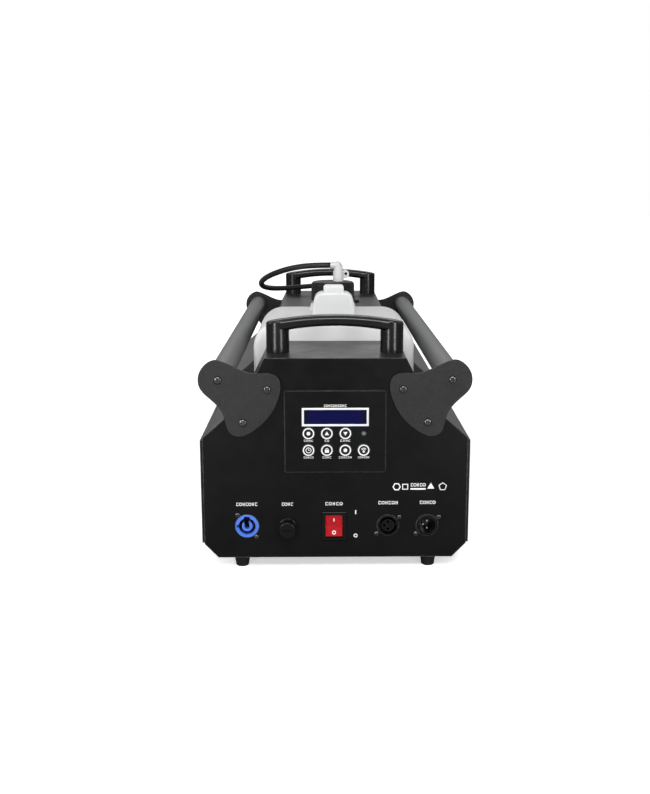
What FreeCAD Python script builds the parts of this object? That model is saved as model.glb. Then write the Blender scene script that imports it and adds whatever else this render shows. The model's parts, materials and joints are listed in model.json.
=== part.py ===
"""Fog machine with a lift-out fluid tank, modelled in millimetres.

+X is the operator's right, +Y runs from the control panel to the fog nozzle and +Z is up.
The origin is on the floor, under the middle of the machine.
"""
import FreeCAD
import Part
import math
import os

V = FreeCAD.Vector

# ---- Driving dimensions -------------------------------------------------------------------
PANEL_Y = 345.0            # outer face of each end panel, from the middle
PANEL_T = 2.0
SKIN_T = 1.5
BOTTOM_HALF = 124.15       # half widths and heights of the body's section
SIDE_HALF = 141.0
PANEL_HALF = 138.6
SHOULDER_HALF = 96.8
TOP_HALF = 73.2
BODY_BOTTOM = 14.5
CHAMFER_TOP = 32.0
SIDE_TOP = 142.7
SHOULDER_Z = 181.9
BODY_TOP = 229.2
OVERHANG = 14.0            # how far the fuse cap and the nozzle stand out of the end panels

BAY_REAR = -225.0          # the open tank bay between the two hoods
BAY_FRONT = -35.0
WELL_HALF = 97.0
WELL_BOTTOM = 29.5

TANK_HALF = 92.4
TANK_REAR = -217.0
TANK_FRONT = -60.0
TANK_BOTTOM = 34.0
TANK_TOP = 250.0
TANK_WALL = 2.0

CAP_Y = -95.0
CAP_R = 26.8
CAP_BOTTOM = 262.0
CAP_TOP = 285.0
COUPLING_X = 7.0

TUBE_X = 120.6
TUBE_Z = 207.0
TUBE_R = 12.7
BRACKET_T = 3.0
PANEL_SCREW_SPOTS = [(70.1, 197.1), (95.8, 162.2)]

HANDLE_Y = 305.0
HANDLE_HALF = 72.6
HANDLE_DEPTH = 20.0
HANDLE_SCREW_X = 60.0
HANDLE_LEG_IN = 48.2       # inner side of each leg
BAR_TOP = (261.8, 269.0)   # height of the bar's upper face at its ends and in the middle
BAR_UNDER = (248.6, 257.9) # and of its under face

FOOT_X = 100.3
FOOT_Y = 327.0
FOOT_TIP_R = 6.8
FOOT_TOP_R = 9.0
FOOT_HEAD_R = 3.8          # the screw head inside each foot

MODULE_HALF = 53.25
MODULE_BOTTOM = 108.0
MODULE_TOP = 196.0
BEZEL_FRONT = -(PANEL_Y + 2.0)
KEY_X = [-27.9, -8.8, 10.4, 29.5]
KEY_Z = [150.5, 132.6]
KEY_R = 5.95
BOARD_Y = -338.0

INLET_AT = (-93.3, 49.5)
FUSE_AT = (-50.5, 48.8)
SWITCH_AT = (-1.5, 49.3)
DATA_OUT_AT = (55.7, 49.8)
DATA_IN_AT = (97.3, 49.6)
INLET_SCREW = (9.8, 12.0)  # from a socket's centre to one of its two screws
DATA_SCREW = (12.05, 9.15)

GLAND_X = 30.5
GLAND_Y = 172.0
HOSE_D = 7.0

PUMP_X = 38.0
PUMP_Y = 3.0
HEATER_Z = 100.0
FIT = 0.05                 # radial clearance of a shaft in its hole
GAP = 0.3                  # clearance between bodies that move past each other


# ---- Building blocks ----------------------------------------------------------------------
def box(x0, x1, y0, y1, z0, z1):
    return Part.makeBox(x1 - x0, y1 - y0, z1 - z0, V(x0, y0, z0))


def cylinder_x(y, z, radius, x0, x1):
    return Part.makeCylinder(radius, x1 - x0, V(x0, y, z), V(1, 0, 0))


def cylinder_y(x, z, radius, y0, y1):
    return Part.makeCylinder(radius, y1 - y0, V(x, y0, z), V(0, 1, 0))


def cylinder_z(x, y, radius, z0, z1):
    return Part.makeCylinder(radius, z1 - z0, V(x, y, z0), V(0, 0, 1))


def join(*shapes):
    whole = shapes[0]
    for shape in shapes[1:]:
        whole = whole.fuse(shape)
    return whole.removeSplitter()


def mirror_x(shape):
    return shape.mirror(V(0, 0, 0), V(1, 0, 0))


def mirror_y(shape):
    return shape.mirror(V(0, 0, 0), V(0, 1, 0))


def both_ways(points):
    """A path up the right-hand side, and back down the left-hand side."""
    return points + [(-x, z) for x, z in reversed(points)]


def slab_y(points, y0, y1):
    """A plate with a straight-sided outline in X and Z, from y0 to y1."""
    corners = [V(x, y0, z) for x, z in points]
    face = Part.Face(Part.makePolygon(corners + corners[:1]))
    return face.extrude(V(0, y1 - y0, 0))


def shift_path(points, distance, closed=False):
    """The path moved to its left by distance, with mitred corners."""
    count = len(points)
    moved = []
    for i, (x, z) in enumerate(points):
        sides = []
        if closed or i > 0:
            sides.append((points[i - 1], points[i]))
        if closed or i < count - 1:
            sides.append((points[i], points[(i + 1) % count]))
        normals = []
        for (ax, az), (bx, bz) in sides:
            length = math.hypot(bx - ax, bz - az)
            normals.append((-(bz - az) / length, (bx - ax) / length))
        nx = sum(n[0] for n in normals)
        nz = sum(n[1] for n in normals)
        stretch = distance * len(normals) / (nx * nx + nz * nz)
        moved.append((x + nx * stretch, z + nz * stretch))
    return moved


def bent_sheet(path, thickness, y0, y1):
    """Sheet metal folded along Y; the path is its outer face, with the inside on its left."""
    inner = shift_path(path, thickness)
    return slab_y(path + inner[::-1], y0, y1)


def height_on(low, high, x):
    """The height at x on the straight line from low to high."""
    return low[1] + (high[1] - low[1]) * (x - low[0]) / (high[0] - low[0])


def hexagon(radius, height, base, direction):
    """A hexagonal prism with the given corner radius."""
    points = []
    for i in range(6):
        angle = math.radians(60 * i)
        points.append(V(radius * math.cos(angle), radius * math.sin(angle), 0))
    prism = Part.Face(Part.makePolygon(points + points[:1])).extrude(V(0, 0, height))
    prism.Placement = FreeCAD.Placement(base, FreeCAD.Rotation(V(0, 0, 1), direction))
    return prism


def screw(seat, direction, head_r, head_h, shank_r, length):
    """A pan-head screw with a cross recess; seat is under its head, and it goes in along direction."""
    head = Part.makeCylinder(head_r, head_h, V(0, 0, -head_h), V(0, 0, 1))
    rim = [edge for edge in head.Edges if abs(edge.CenterOfMass.z + head_h) < 0.01]
    head = head.makeFillet(head_h * 0.8, rim)
    body = head.fuse(Part.makeCylinder(shank_r, length))
    reach, half_slot, depth = head_r * 0.55, head_r * 0.14, head_h * 0.7
    body = body.cut(box(-reach, reach, -half_slot, half_slot, -head_h, depth - head_h))
    body = body.cut(box(-half_slot, half_slot, -reach, reach, -head_h, depth - head_h))
    body.Placement = FreeCAD.Placement(seat, FreeCAD.Rotation(V(0, 0, 1), direction))
    return body


def routed_tube(name, points, diameter):
    """A round tube along straight runs joined by tangent arcs."""
    corners = [V(*point) for point in points]
    edges = []
    radii = []
    start = corners[0]
    for i in range(1, len(corners) - 1):
        arriving = corners[i] - corners[i - 1]
        leaving = corners[i + 1] - corners[i]
        reach = 0.45 * min(arriving.Length, leaving.Length)
        turn = arriving.getAngle(leaving)
        radius = reach / math.tan(turn / 2)
        radii.append(radius)
        arriving.normalize()
        leaving.normalize()
        bisector = leaving - arriving
        bisector.normalize()
        enter = corners[i] - arriving * reach
        leave = corners[i] + leaving * reach
        middle = corners[i] + bisector * (radius / math.cos(turn / 2) - radius)
        edges.append(Part.LineSegment(start, enter).toShape())
        edges.append(Part.Arc(enter, middle, leave).toShape())
        start = leave
    edges.append(Part.LineSegment(start, corners[-1]).toShape())
    path = Part.Wire(edges)
    ring = Part.Circle(corners[0], corners[1] - corners[0], diameter / 2).toShape()
    tube = path.makePipeShell([Part.Wire([ring])], True, False)
    expected = math.pi * diameter ** 2 / 4 * path.Length
    print(name, "length", round(path.Length, 1), "volume ratio", round(tube.Volume / expected, 4))
    print(name, "bend radii", [round(radius, 1) for radius in radii])
    return tube


def export(name, shape):
    for solid in shape.Solids:
        if not solid.isValid() or solid.Volume <= 0:
            print("BAD SOLID in", name)
    shape.exportStep("parts/" + name + ".step")


def group(shapes):
    return Part.makeCompound(shapes)


# ---- Body outline --------------------------------------------------------------------------
CHAMFER = ((BOTTOM_HALF, BODY_BOTTOM), (SIDE_HALF, CHAMFER_TOP))
SLOPE = ((SIDE_HALF, SIDE_TOP), (SHOULDER_HALF, SHOULDER_Z))
INNER_HALF = SIDE_HALF - SKIN_T        # the side covers lie outside this
CHAMFER_END = (INNER_HALF, height_on(*CHAMFER, INNER_HALF))
SLOPE_START = (INNER_HALF, height_on(*SLOPE, INNER_HALF))
OUTLINE = both_ways([CHAMFER[0], CHAMFER_END, SLOPE_START, SLOPE[1], (TOP_HALF, BODY_TOP)])
PANEL_INNER = PANEL_Y - PANEL_T


def base_tray():
    flange_top = 95.0
    right = [CHAMFER[0], CHAMFER_END, (INNER_HALF, flange_top)]
    path = [(-x, z) for x, z in reversed(right)] + right
    tray = bent_sheet(path, SKIN_T, -PANEL_INNER, PANEL_INNER)
    for x in (-FOOT_X, FOOT_X):
        for y in (-FOOT_Y, FOOT_Y):
            tray = tray.cut(cylinder_z(x, y, 2.6, BODY_BOTTOM - 1, BODY_BOTTOM + SKIN_T + 1))
    return tray


def hood(y0, y1):
    flange_bottom = 105.0
    right = [(INNER_HALF, flange_bottom), SLOPE_START, SLOPE[1], (TOP_HALF, BODY_TOP)]
    return bent_sheet(both_ways(right), SKIN_T, y0, y1)


def handle_holes(shape, y):
    for x in (-HANDLE_SCREW_X, HANDLE_SCREW_X):
        shape = shape.cut(cylinder_z(x, y, 2.6, BODY_TOP - 3, BODY_TOP + 1))
    return shape


def rear_hood():
    return handle_holes(hood(-PANEL_INNER, BAY_REAR), -HANDLE_Y)


def front_hood():
    shape = handle_holes(hood(BAY_FRONT, PANEL_INNER), HANDLE_Y)
    return shape.cut(cylinder_z(GLAND_X, GLAND_Y, 8.1, BODY_TOP - 3, BODY_TOP + 1))


def bulkhead(y0, y1):
    inner = shift_path(OUTLINE, SKIN_T, closed=True)
    return slab_y(inner, y0, y1)


def side_cover():
    """The right-hand skin, with the ledge beside the tank and a bank of vent slots."""
    low = CHAMFER_END[1] + 0.6
    skin = box(INNER_HALF, SIDE_HALF, -PANEL_Y, PANEL_Y, low, SIDE_TOP)
    ledge = box(WELL_HALF - SKIN_T, INNER_HALF, BAY_REAR, BAY_FRONT, SIDE_TOP - SKIN_T, SIDE_TOP)
    cover = skin.fuse(ledge)
    slot_pitch = 14.0
    for i in range(14):
        y = 82.0 + i * slot_pitch
        slot = box(INNER_HALF - 1, SIDE_HALF + 1, y - 1.5, y + 1.5, 100.0, 128.0)
        cover = cover.cut(slot)
        cover = cover.cut(slot.translated(V(0, 0, -54.0)))
    return cover


def tank_cradle():
    """The well that the tank stands in, with two ribs under the tank."""
    rim = SIDE_TOP - SKIN_T
    path = [(-WELL_HALF, rim), (-WELL_HALF, WELL_BOTTOM), (WELL_HALF, WELL_BOTTOM), (WELL_HALF, rim)]
    shape = bent_sheet(path, SKIN_T, BAY_REAR, BAY_FRONT)
    for x in (-55.0, 55.0):
        rib = box(x - 12, x + 12, TANK_REAR + 5, TANK_FRONT - 5, WELL_BOTTOM + SKIN_T, TANK_BOTTOM)
        shape = shape.fuse(rib)
    for x in (-70.0, 70.0):
        post = box(x - 8, x + 8, BAY_REAR + 20, BAY_FRONT - 20, BODY_BOTTOM + SKIN_T, WELL_BOTTOM)
        shape = shape.fuse(post)
    return shape.removeSplitter()


def panel_screw_holes(panel):
    for x, z in PANEL_SCREW_SPOTS:
        for side in (-1, 1):
            panel = panel.cut(cylinder_y(side * x, z, 2.1, -PANEL_Y - 1, PANEL_Y + 1))
    return panel


def connector_screw_spots():
    spots = []
    for side in (-1, 1):
        spots.append((INLET_AT[0] + side * INLET_SCREW[0], INLET_AT[1] - side * INLET_SCREW[1]))
        for x, z in (DATA_OUT_AT, DATA_IN_AT):
            spots.append((x + side * DATA_SCREW[0], z + side * DATA_SCREW[1]))
    return spots


def end_panel(y0, y1):
    """A plate with the body's outline, set in a little from the side covers."""
    plate = slab_y(OUTLINE, y0, y1).common(box(-PANEL_HALF, PANEL_HALF, y0, y1, 0, BODY_TOP))
    return panel_screw_holes(plate)


def rear_panel():
    panel = end_panel(-PANEL_Y, -PANEL_INNER)
    holes = [
        (INLET_AT, INLET_R), (DATA_OUT_AT, DATA_OUT_R),
        (DATA_IN_AT, DATA_IN_R), (FUSE_AT, FUSE_BARREL_R),
    ]
    for (x, z), radius in holes:
        panel = panel.cut(cylinder_y(x, z, radius + FIT, -PANEL_Y - 1, -PANEL_INNER + 1))
    for x, z in connector_screw_spots():
        panel = panel.cut(cylinder_y(x, z, 1.5, -PANEL_Y - 1, -PANEL_INNER + 1))
    sx, sz = SWITCH_AT
    panel = panel.cut(box(sx - 10.8, sx + 10.8, -PANEL_Y - 1, -PANEL_INNER + 1, sz - 14.5, sz + 14.5))
    window = box(-49.0, 49.0, -PANEL_Y - 1, -PANEL_INNER + 1, MODULE_BOTTOM + 4, MODULE_TOP - 4)
    return panel.cut(window)


def front_panel():
    panel = end_panel(PANEL_INNER, PANEL_Y)
    panel = panel.cut(cylinder_y(0, HEATER_Z, COLLAR_NECK_R + FIT, PANEL_INNER - 1, PANEL_Y + 1))
    for side in (-1, 1):
        for i in range(7):
            x = side * (48.0 + 9.0 * i)
            panel = panel.cut(box(x - 1.5, x + 1.5, PANEL_INNER - 1, PANEL_Y + 1, 60.0, 120.0))
    return panel


# ---- Side rails ----------------------------------------------------------------------------
def bracket():
    """The rear right-hand three-lobed plate that carries one end of a side tube."""
    rim = [
        (120.6, 227.5), (108.0, 222.6), (96.0, 216.9), (83.4, 213.6), (71.0, 214.2),
        (59.0, 209.6), (56.4, 199.8), (59.0, 187.0), (65.3, 173.4), (75.5, 161.2),
        (87.1, 152.2), (99.1, 147.6), (109.0, 151.0), (112.9, 159.8), (116.0, 170.6),
        (123.0, 181.4), (132.2, 190.0), (139.4, 198.8), (140.9, 209.6), (136.3, 220.2),
    ]
    curve = Part.BSplineCurve()
    curve.interpolate([V(x, -PANEL_Y, z) for x, z in rim], PeriodicFlag=True)
    plate = Part.Face(Part.Wire([curve.toShape()])).extrude(V(0, -BRACKET_T, 0))
    for x, z in PANEL_SCREW_SPOTS + [(TUBE_X, TUBE_Z)]:
        plate = plate.cut(cylinder_y(x, z, 2.1, -PANEL_Y - BRACKET_T - 1, -PANEL_Y + 1))
    return plate


def side_tube():
    outer = cylinder_y(TUBE_X, TUBE_Z, TUBE_R, -PANEL_Y, PANEL_Y)
    return outer.cut(cylinder_y(TUBE_X, TUBE_Z, TUBE_R - SKIN_T, -PANEL_Y - 1, PANEL_Y + 1))


def end_plug():
    plug = cylinder_y(TUBE_X, TUBE_Z, TUBE_R - SKIN_T - 0.02, -PANEL_Y, -PANEL_Y + 20)
    return plug.cut(cylinder_y(TUBE_X, TUBE_Z, 2.1, -PANEL_Y - 1, -PANEL_Y + 21))


def four_ends(shape):
    return group([shape, mirror_x(shape), mirror_y(shape), mirror_y(mirror_x(shape))])


def bracket_screws():
    solids = []
    for x, z in PANEL_SCREW_SPOTS + [(TUBE_X, TUBE_Z)]:
        one = screw(V(x, -PANEL_Y - BRACKET_T, z), V(0, 1, 0), 4.2, 2.5, 2.0, 14.0)
        solids += four_ends(one).Solids
    return group(solids)


# ---- Handles, feet and their screws ---------------------------------------------------------
def arch(y, half, end_z, middle_z):
    """The space under an arch that spans from -half to half."""
    y0 = y - HANDLE_DEPTH / 2
    rise = Part.Arc(V(-half, y0, end_z), V(0, y0, middle_z), V(half, y0, end_z)).toShape()
    foot = [V(half, y0, end_z), V(half, y0, BODY_TOP), V(-half, y0, BODY_TOP), V(-half, y0, end_z)]
    sides = [Part.LineSegment(foot[i], foot[i + 1]).toShape() for i in range(3)]
    return Part.Face(Part.Wire([rise] + sides)).extrude(V(0, HANDLE_DEPTH, 0))


def handle(y):
    """An arched carrying bar between two oval columns that stand on the hood."""
    leg_x = (HANDLE_HALF + HANDLE_LEG_IN) / 2
    half_depth = HANDLE_DEPTH / 2
    outside = arch(y, HANDLE_HALF, *BAR_TOP)
    bar = outside.cut(arch(y, HANDLE_HALF, *BAR_UNDER))
    bar = bar.common(box(-leg_x, leg_x, y - half_depth, y + half_depth, BODY_TOP, BAR_TOP[1] + 1))
    rims = [edge for edge in bar.Edges if edge.Length > leg_x
            and abs(abs(edge.CenterOfMass.y - y) - half_depth) < 0.01]
    shape = bar.makeFillet(4.4, rims)
    for x in (-leg_x, leg_x):
        oval = Part.Ellipse(V(x, y, BODY_TOP), HANDLE_HALF - leg_x, half_depth).toShape()
        column = Part.Face(Part.Wire([oval])).extrude(V(0, 0, 60.0)).common(outside)
        top = [edge for edge in column.Edges if edge.BoundBox.ZMin > BODY_TOP + 20]
        shape = shape.fuse(column.makeFillet(2.5, top))
    for x in (-HANDLE_SCREW_X, HANDLE_SCREW_X):
        shape = shape.cut(cylinder_z(x, y, 2.6, BODY_TOP - 1, BODY_TOP + 12))
    return shape


def rubber_feet():
    solids = []
    for x in (-FOOT_X, FOOT_X):
        for y in (-FOOT_Y, FOOT_Y):
            foot = Part.makeCone(FOOT_TIP_R, FOOT_TOP_R, BODY_BOTTOM, V(x, y, 0))
            rim = [edge for edge in foot.Edges if edge.BoundBox.ZMax < 0.01]
            foot = foot.makeFillet(1.2, rim)
            foot = foot.cut(cylinder_z(x, y, FOOT_HEAD_R + 0.3, -1, 5))
            foot = foot.cut(cylinder_z(x, y, 2.6, 4, BODY_BOTTOM + 1))
            solids.append(foot)
    return group(solids)


def case_screws():
    """The screws up through the feet, and those up through the hoods into the handles."""
    solids = []
    for x in (-1, 1):
        for y in (-1, 1):
            foot_seat = V(x * FOOT_X, y * FOOT_Y, 5)
            solids.append(screw(foot_seat, V(0, 0, 1), FOOT_HEAD_R, 2.7, 2.5, 16.0))
            handle_seat = V(x * HANDLE_SCREW_X, y * HANDLE_Y, BODY_TOP - SKIN_T)
            solids.append(screw(handle_seat, V(0, 0, 1), 4.6, 2.7, 2.5, 12.0))
    return group(solids)


# ---- Control module --------------------------------------------------------------------------
WINDOW_HALF = 32.5
WINDOW_LOW = 160.3
WINDOW_HIGH = 175.4
LED_AT = (29.5, 150.3)
KEY_NAMES = ["menu_key", "up_key", "down_key", None, "timer_key", "lock_key", "manual_key", "remote_key"]


def key_places():
    """Each key's name with its place on the panel; the last place of the top row is the LED."""
    spots = [(x, z) for z in KEY_Z for x in KEY_X]
    return [(name, spot) for name, spot in zip(KEY_NAMES, spots) if name]


def control_bezel():
    plate = box(-MODULE_HALF, MODULE_HALF, BEZEL_FRONT, -PANEL_Y, MODULE_BOTTOM, MODULE_TOP)
    corners = [edge for edge in plate.Edges if abs(edge.tangentAt(edge.FirstParameter).y) > 0.9]
    plate = plate.makeFillet(3.0, corners)
    front = [edge for edge in plate.Edges if abs(edge.BoundBox.YMax - BEZEL_FRONT) < 0.01]
    plate = plate.makeChamfer(0.8, front)
    rim = 0.5
    plate = plate.cut(
        box(-WINDOW_HALF - rim, WINDOW_HALF + rim, BEZEL_FRONT - 1, -PANEL_Y + 1,
            WINDOW_LOW - rim, WINDOW_HIGH + rim)
    )
    for _, (x, z) in key_places():
        plate = plate.cut(cylinder_y(x, z, KEY_R + GAP, BEZEL_FRONT - 1, -PANEL_Y + 1))
    return plate.cut(cylinder_y(*LED_AT, 2.1, BEZEL_FRONT - 1, -PANEL_Y + 1))


def display_frame():
    edge = 2.2
    outer = box(-WINDOW_HALF - edge, WINDOW_HALF + edge, BEZEL_FRONT - 0.6, BEZEL_FRONT,
                WINDOW_LOW - edge, WINDOW_HIGH + edge)
    inner = box(-WINDOW_HALF, WINDOW_HALF, BEZEL_FRONT - 1, BEZEL_FRONT + 1, WINDOW_LOW, WINDOW_HIGH)
    return outer.cut(inner)


def display_window():
    rim = 0.5
    return box(-WINDOW_HALF - rim, WINDOW_HALF + rim, BEZEL_FRONT, BEZEL_FRONT + 1.2,
               WINDOW_LOW - rim, WINDOW_HIGH + rim)


def control_board():
    """The circuit board with its display, key switches and lamp, on four posts."""
    rim = 0.5
    board = box(-47.5, 47.5, BOARD_Y, BOARD_Y + 1.6, 114.0, 190.0)
    screen = box(-WINDOW_HALF - rim, WINDOW_HALF + rim, BEZEL_FRONT + 1.2, -PANEL_Y,
                 WINDOW_LOW - rim, WINDOW_HIGH + rim)
    backing = box(-38.0, 38.0, -PANEL_Y, BOARD_Y, 158.0, 184.0)
    board = join(board, screen, backing)
    for _, (x, z) in key_places():
        switch = box(x - 3, x + 3, -PANEL_Y + 2.6, BOARD_Y, z - 3, z + 3)
        board = board.fuse(switch)
    lamp = cylinder_y(*LED_AT, 2.0, BEZEL_FRONT - 0.4, BOARD_Y)
    board = board.fuse(lamp)
    for x in (-44.5, 44.5):
        for z in (117.0, 187.0):
            board = board.fuse(cylinder_y(x, z, 2.5, -PANEL_Y, BOARD_Y))
    return board.removeSplitter()


def panel_key(x, z):
    """A round push key with a collar behind the plate that keeps it in."""
    stem = cylinder_y(x, z, KEY_R, BEZEL_FRONT - 1.0, -PANEL_Y + 2.0)
    face = [edge for edge in stem.Edges if abs(edge.CenterOfMass.y - BEZEL_FRONT + 1.0) < 0.01]
    stem = stem.makeChamfer(0.3, face[:1])
    collar = cylinder_y(x, z, KEY_R + 0.85, -PANEL_Y + GAP, -PANEL_Y + 1.3)
    return join(stem, collar)


# ---- Sockets, fuse and switch -----------------------------------------------------------------
INLET_R = 12.4
DATA_OUT_R = 11.3
DATA_IN_R = 11.5
FUSE_BARREL_R = 6.0


def power_inlet():
    """The locking mains inlet: a ring with two keyways around a core that is open at its top left."""
    x, z = INLET_AT
    front = -PANEL_Y - 1.4
    floor = -PANEL_Y + 20
    flange_y = (-PANEL_INNER - 1, -PANEL_INNER + 3)
    ring = cylinder_y(x, z, INLET_R, front, -PANEL_INNER)
    lip = [edge for edge in ring.Edges if abs(edge.CenterOfMass.y - front) < 0.01]
    ring = ring.makeFillet(0.6, lip[:1])
    flange = box(x - 13, x + 13, -PANEL_INNER, -PANEL_INNER + 2, z - 15.5, z + 15.5)
    barrel = cylinder_y(x, z, 11.5, -PANEL_INNER + 2, -PANEL_INNER + 24)
    shell = join(ring, flange, barrel)
    shell = shell.cut(cylinder_y(x, z, 9.0, front - 1, floor))
    shell = shell.cut(box(x - 3.1, x + 3.1, front - 1, floor - 4, z, z + 10.6))
    shell = shell.cut(box(x - 11.0, x, front - 1, floor - 4, z - 1.4, z + 1.4))
    core = cylinder_y(x, z, 5.6, -PANEL_Y - 0.4, floor)
    mouth = box(0, 7.0, front - 1, floor - 2, -2.6, 2.6)
    mouth.rotate(V(0, 0, 0), V(0, -1, 0), 98)
    core = core.cut(mouth.translated(V(x, 0, z)))
    core = core.cut(cylinder_y(x, z - 0.3, 2.8, front - 1, floor - 2))
    shell = shell.fuse(core)
    for side in (-1, 1):
        hole = cylinder_y(x + side * INLET_SCREW[0], z - side * INLET_SCREW[1], 1.5, *flange_y)
        shell = shell.cut(hole)
    for degrees in (90, 210, 330):
        angle = math.radians(degrees)
        tab_x = x + 6 * math.cos(angle)
        tab_z = z + 6 * math.sin(angle)
        shell = shell.fuse(box(tab_x - 3, tab_x + 3, -319.0, -309.0, tab_z - 0.4, tab_z + 0.4))
    return shell.removeSplitter()


def data_flange(x, z):
    flange = box(x - 15.5, x + 15.5, -PANEL_INNER, -PANEL_INNER + 2, z - 13, z + 13)
    for side in (-1, 1):
        hole = cylinder_y(x + side * DATA_SCREW[0], z + side * DATA_SCREW[1], 1.5,
                          -PANEL_INNER - 1, -PANEL_INNER + 3)
        flange = flange.cut(hole)
    return flange


def pin_places(x, z):
    reach = 4.0
    return [(x, z + reach), (x - reach, z), (x, z - reach)]


def data_out_socket():
    """The panel socket with three contact holes and a round gap for the plug's sleeve."""
    x, z = DATA_OUT_AT
    ring = cylinder_y(x, z, DATA_OUT_R, -PANEL_Y - 1.2, -PANEL_INNER)
    lip = [edge for edge in ring.Edges if abs(edge.CenterOfMass.y + PANEL_Y + 1.2) < 0.01]
    ring = ring.makeFillet(0.6, lip[:1])
    barrel = cylinder_y(x, z, 11.0, -PANEL_INNER + 2, -PANEL_INNER + 20)
    shell = join(ring, data_flange(x, z), barrel)
    shell = shell.cut(cylinder_y(x, z, 9.3, -PANEL_Y - 2, -PANEL_Y + 14))
    core = cylinder_y(x, z, 6.9, -PANEL_Y - 0.6, -PANEL_Y + 14)
    shell = shell.fuse(core)
    for px, pz in pin_places(x, z):
        shell = shell.cut(cylinder_y(px, pz, 1.35, -PANEL_Y - 2, -PANEL_Y + 12))
    return shell.removeSplitter()


def data_in_shell():
    """The panel plug: an open cup around three pins."""
    x, z = DATA_IN_AT
    ring = cylinder_y(x, z, DATA_IN_R, -PANEL_Y - 1.2, -PANEL_INNER)
    lip = [edge for edge in ring.Edges if abs(edge.CenterOfMass.y + PANEL_Y + 1.2) < 0.01]
    ring = ring.makeFillet(0.6, lip[:1])
    barrel = cylinder_y(x, z, 11.0, -PANEL_INNER + 2, -PANEL_INNER + 20)
    shell = join(ring, data_flange(x, z), barrel)
    shell = shell.cut(cylinder_y(x, z, 8.5, -PANEL_Y - 2, -PANEL_Y + 14))
    for px, pz in pin_places(x, z):
        shell = shell.cut(cylinder_y(px, pz, 1.2, -PANEL_Y + 13, -PANEL_INNER + 21))
    return shell


def data_in_pins():
    pins = []
    for px, pz in pin_places(*DATA_IN_AT):
        pin = cylinder_y(px, pz, 1.2, -PANEL_Y + 3, -PANEL_INNER + 24)
        tip = [edge for edge in pin.Edges if abs(edge.CenterOfMass.y + PANEL_Y - 3) < 0.01]
        pins.append(pin.makeChamfer(0.4, tip[:1]))
    return group(pins)


def connector_screws():
    solids = []
    for x, z in connector_screw_spots():
        solids.append(screw(V(x, -PANEL_Y, z), V(0, 1, 0), 2.6, 1.5, 1.45, 8.0))
    return group(solids)


FUSE_BORE = 3.8
FUSE_KNOB_BACK = -PANEL_Y - 2.8


def fuse_holder():
    """The panel flange, the threaded barrel and its nut."""
    x, z = FUSE_AT
    flange = cylinder_y(x, z, 9.8, -PANEL_Y - 2.5, -PANEL_Y)
    rim = [edge for edge in flange.Edges if abs(edge.CenterOfMass.y + PANEL_Y + 2.5) < 0.01]
    flange = flange.makeFillet(1.0, rim[:1])
    barrel = cylinder_y(x, z, FUSE_BARREL_R, -PANEL_Y, -PANEL_Y + 38)
    nut = hexagon(9.2, 4.0, V(x, -PANEL_INNER, z), V(0, 1, 0))
    holder = join(flange, barrel, nut)
    return holder.cut(cylinder_y(x, z, FUSE_BORE, -PANEL_Y - 3, -PANEL_Y + 35))


def fuse_carrier():
    """The sliding tube that holds the end of the fuse link; the knob turns on its journal."""
    x, z = FUSE_AT
    tube = cylinder_y(x, z, FUSE_BORE - FIT, FUSE_KNOB_BACK + 0.3, -PANEL_Y + 12)
    journal = cylinder_y(x, z, 2.4, FUSE_KNOB_BACK - 6.0, FUSE_KNOB_BACK + 0.3)
    carrier = join(tube, journal)
    return carrier.cut(cylinder_y(x, z, 2.5, -PANEL_Y + 8, -PANEL_Y + 13))


def fuse_link():
    x, z = FUSE_AT
    return cylinder_y(x, z, 2.5, -PANEL_Y + 8, -PANEL_Y + 28)


def fuse_cap():
    """The ribbed knob, with a coin slot across its face."""
    x, z = FUSE_AT
    front = -PANEL_Y - OVERHANG
    knob_r = 8.5
    grooves = 16
    knob = cylinder_y(x, z, knob_r, front, FUSE_KNOB_BACK)
    rim = [edge for edge in knob.Edges if abs(edge.CenterOfMass.y - front) < 0.01]
    knob = knob.makeFillet(1.2, rim[:1])
    for i in range(grooves):
        angle = math.tau * i / grooves
        groove_x = x + (knob_r + 0.2) * math.cos(angle)
        groove_z = z + (knob_r + 0.2) * math.sin(angle)
        knob = knob.cut(cylinder_y(groove_x, groove_z, 0.6, front - 1, FUSE_KNOB_BACK - 1.5))
    knob = knob.cut(cylinder_y(x, z, 2.4 + FIT, FUSE_KNOB_BACK - 6.3, FUSE_KNOB_BACK + 1))
    return knob.cut(box(x - 4.5, x + 4.5, front - 1, front + 1.2, z - 0.7, z + 0.7))


PIVOT_Y = -PANEL_Y + 3.5
ROCKER_HALF_X = 8.8
ROCKER_HALF_Z = 11.8
ROCKER_TILT = 7.0


def switch_body():
    """The snap-in frame and case, open at the front for the rocker."""
    x, z = SWITCH_AT
    frame = box(x - 13.1, x + 13.1, -PANEL_Y - 2, -PANEL_Y, z - 16.0, z + 16.0)
    front = [edge for edge in frame.Edges if abs(edge.BoundBox.YMax + PANEL_Y + 2) < 0.01]
    frame = frame.makeChamfer(0.7, front)
    case = box(x - 10.7, x + 10.7, -PANEL_Y, -PANEL_Y + 22, z - 14.4, z + 14.4)
    body = join(frame, case)
    cavity = box(x - ROCKER_HALF_X - GAP, x + ROCKER_HALF_X + GAP, -PANEL_Y - 3, -PANEL_Y + 12,
                 z - ROCKER_HALF_Z - 0.5, z + ROCKER_HALF_Z + 0.5)
    body = body.cut(cavity)
    body = body.cut(cylinder_x(PIVOT_Y, z, 1.5 + FIT, x - 10.4, x + 10.4))
    for dx, dz in ((-5, 0), (5, 0), (0, 8), (0, -8)):
        blade = box(x + dx - 2.4, x + dx + 2.4, -PANEL_Y + 22, -PANEL_Y + 31, z + dz - 0.4, z + dz + 0.4)
        body = body.fuse(blade)
    return body


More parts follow.
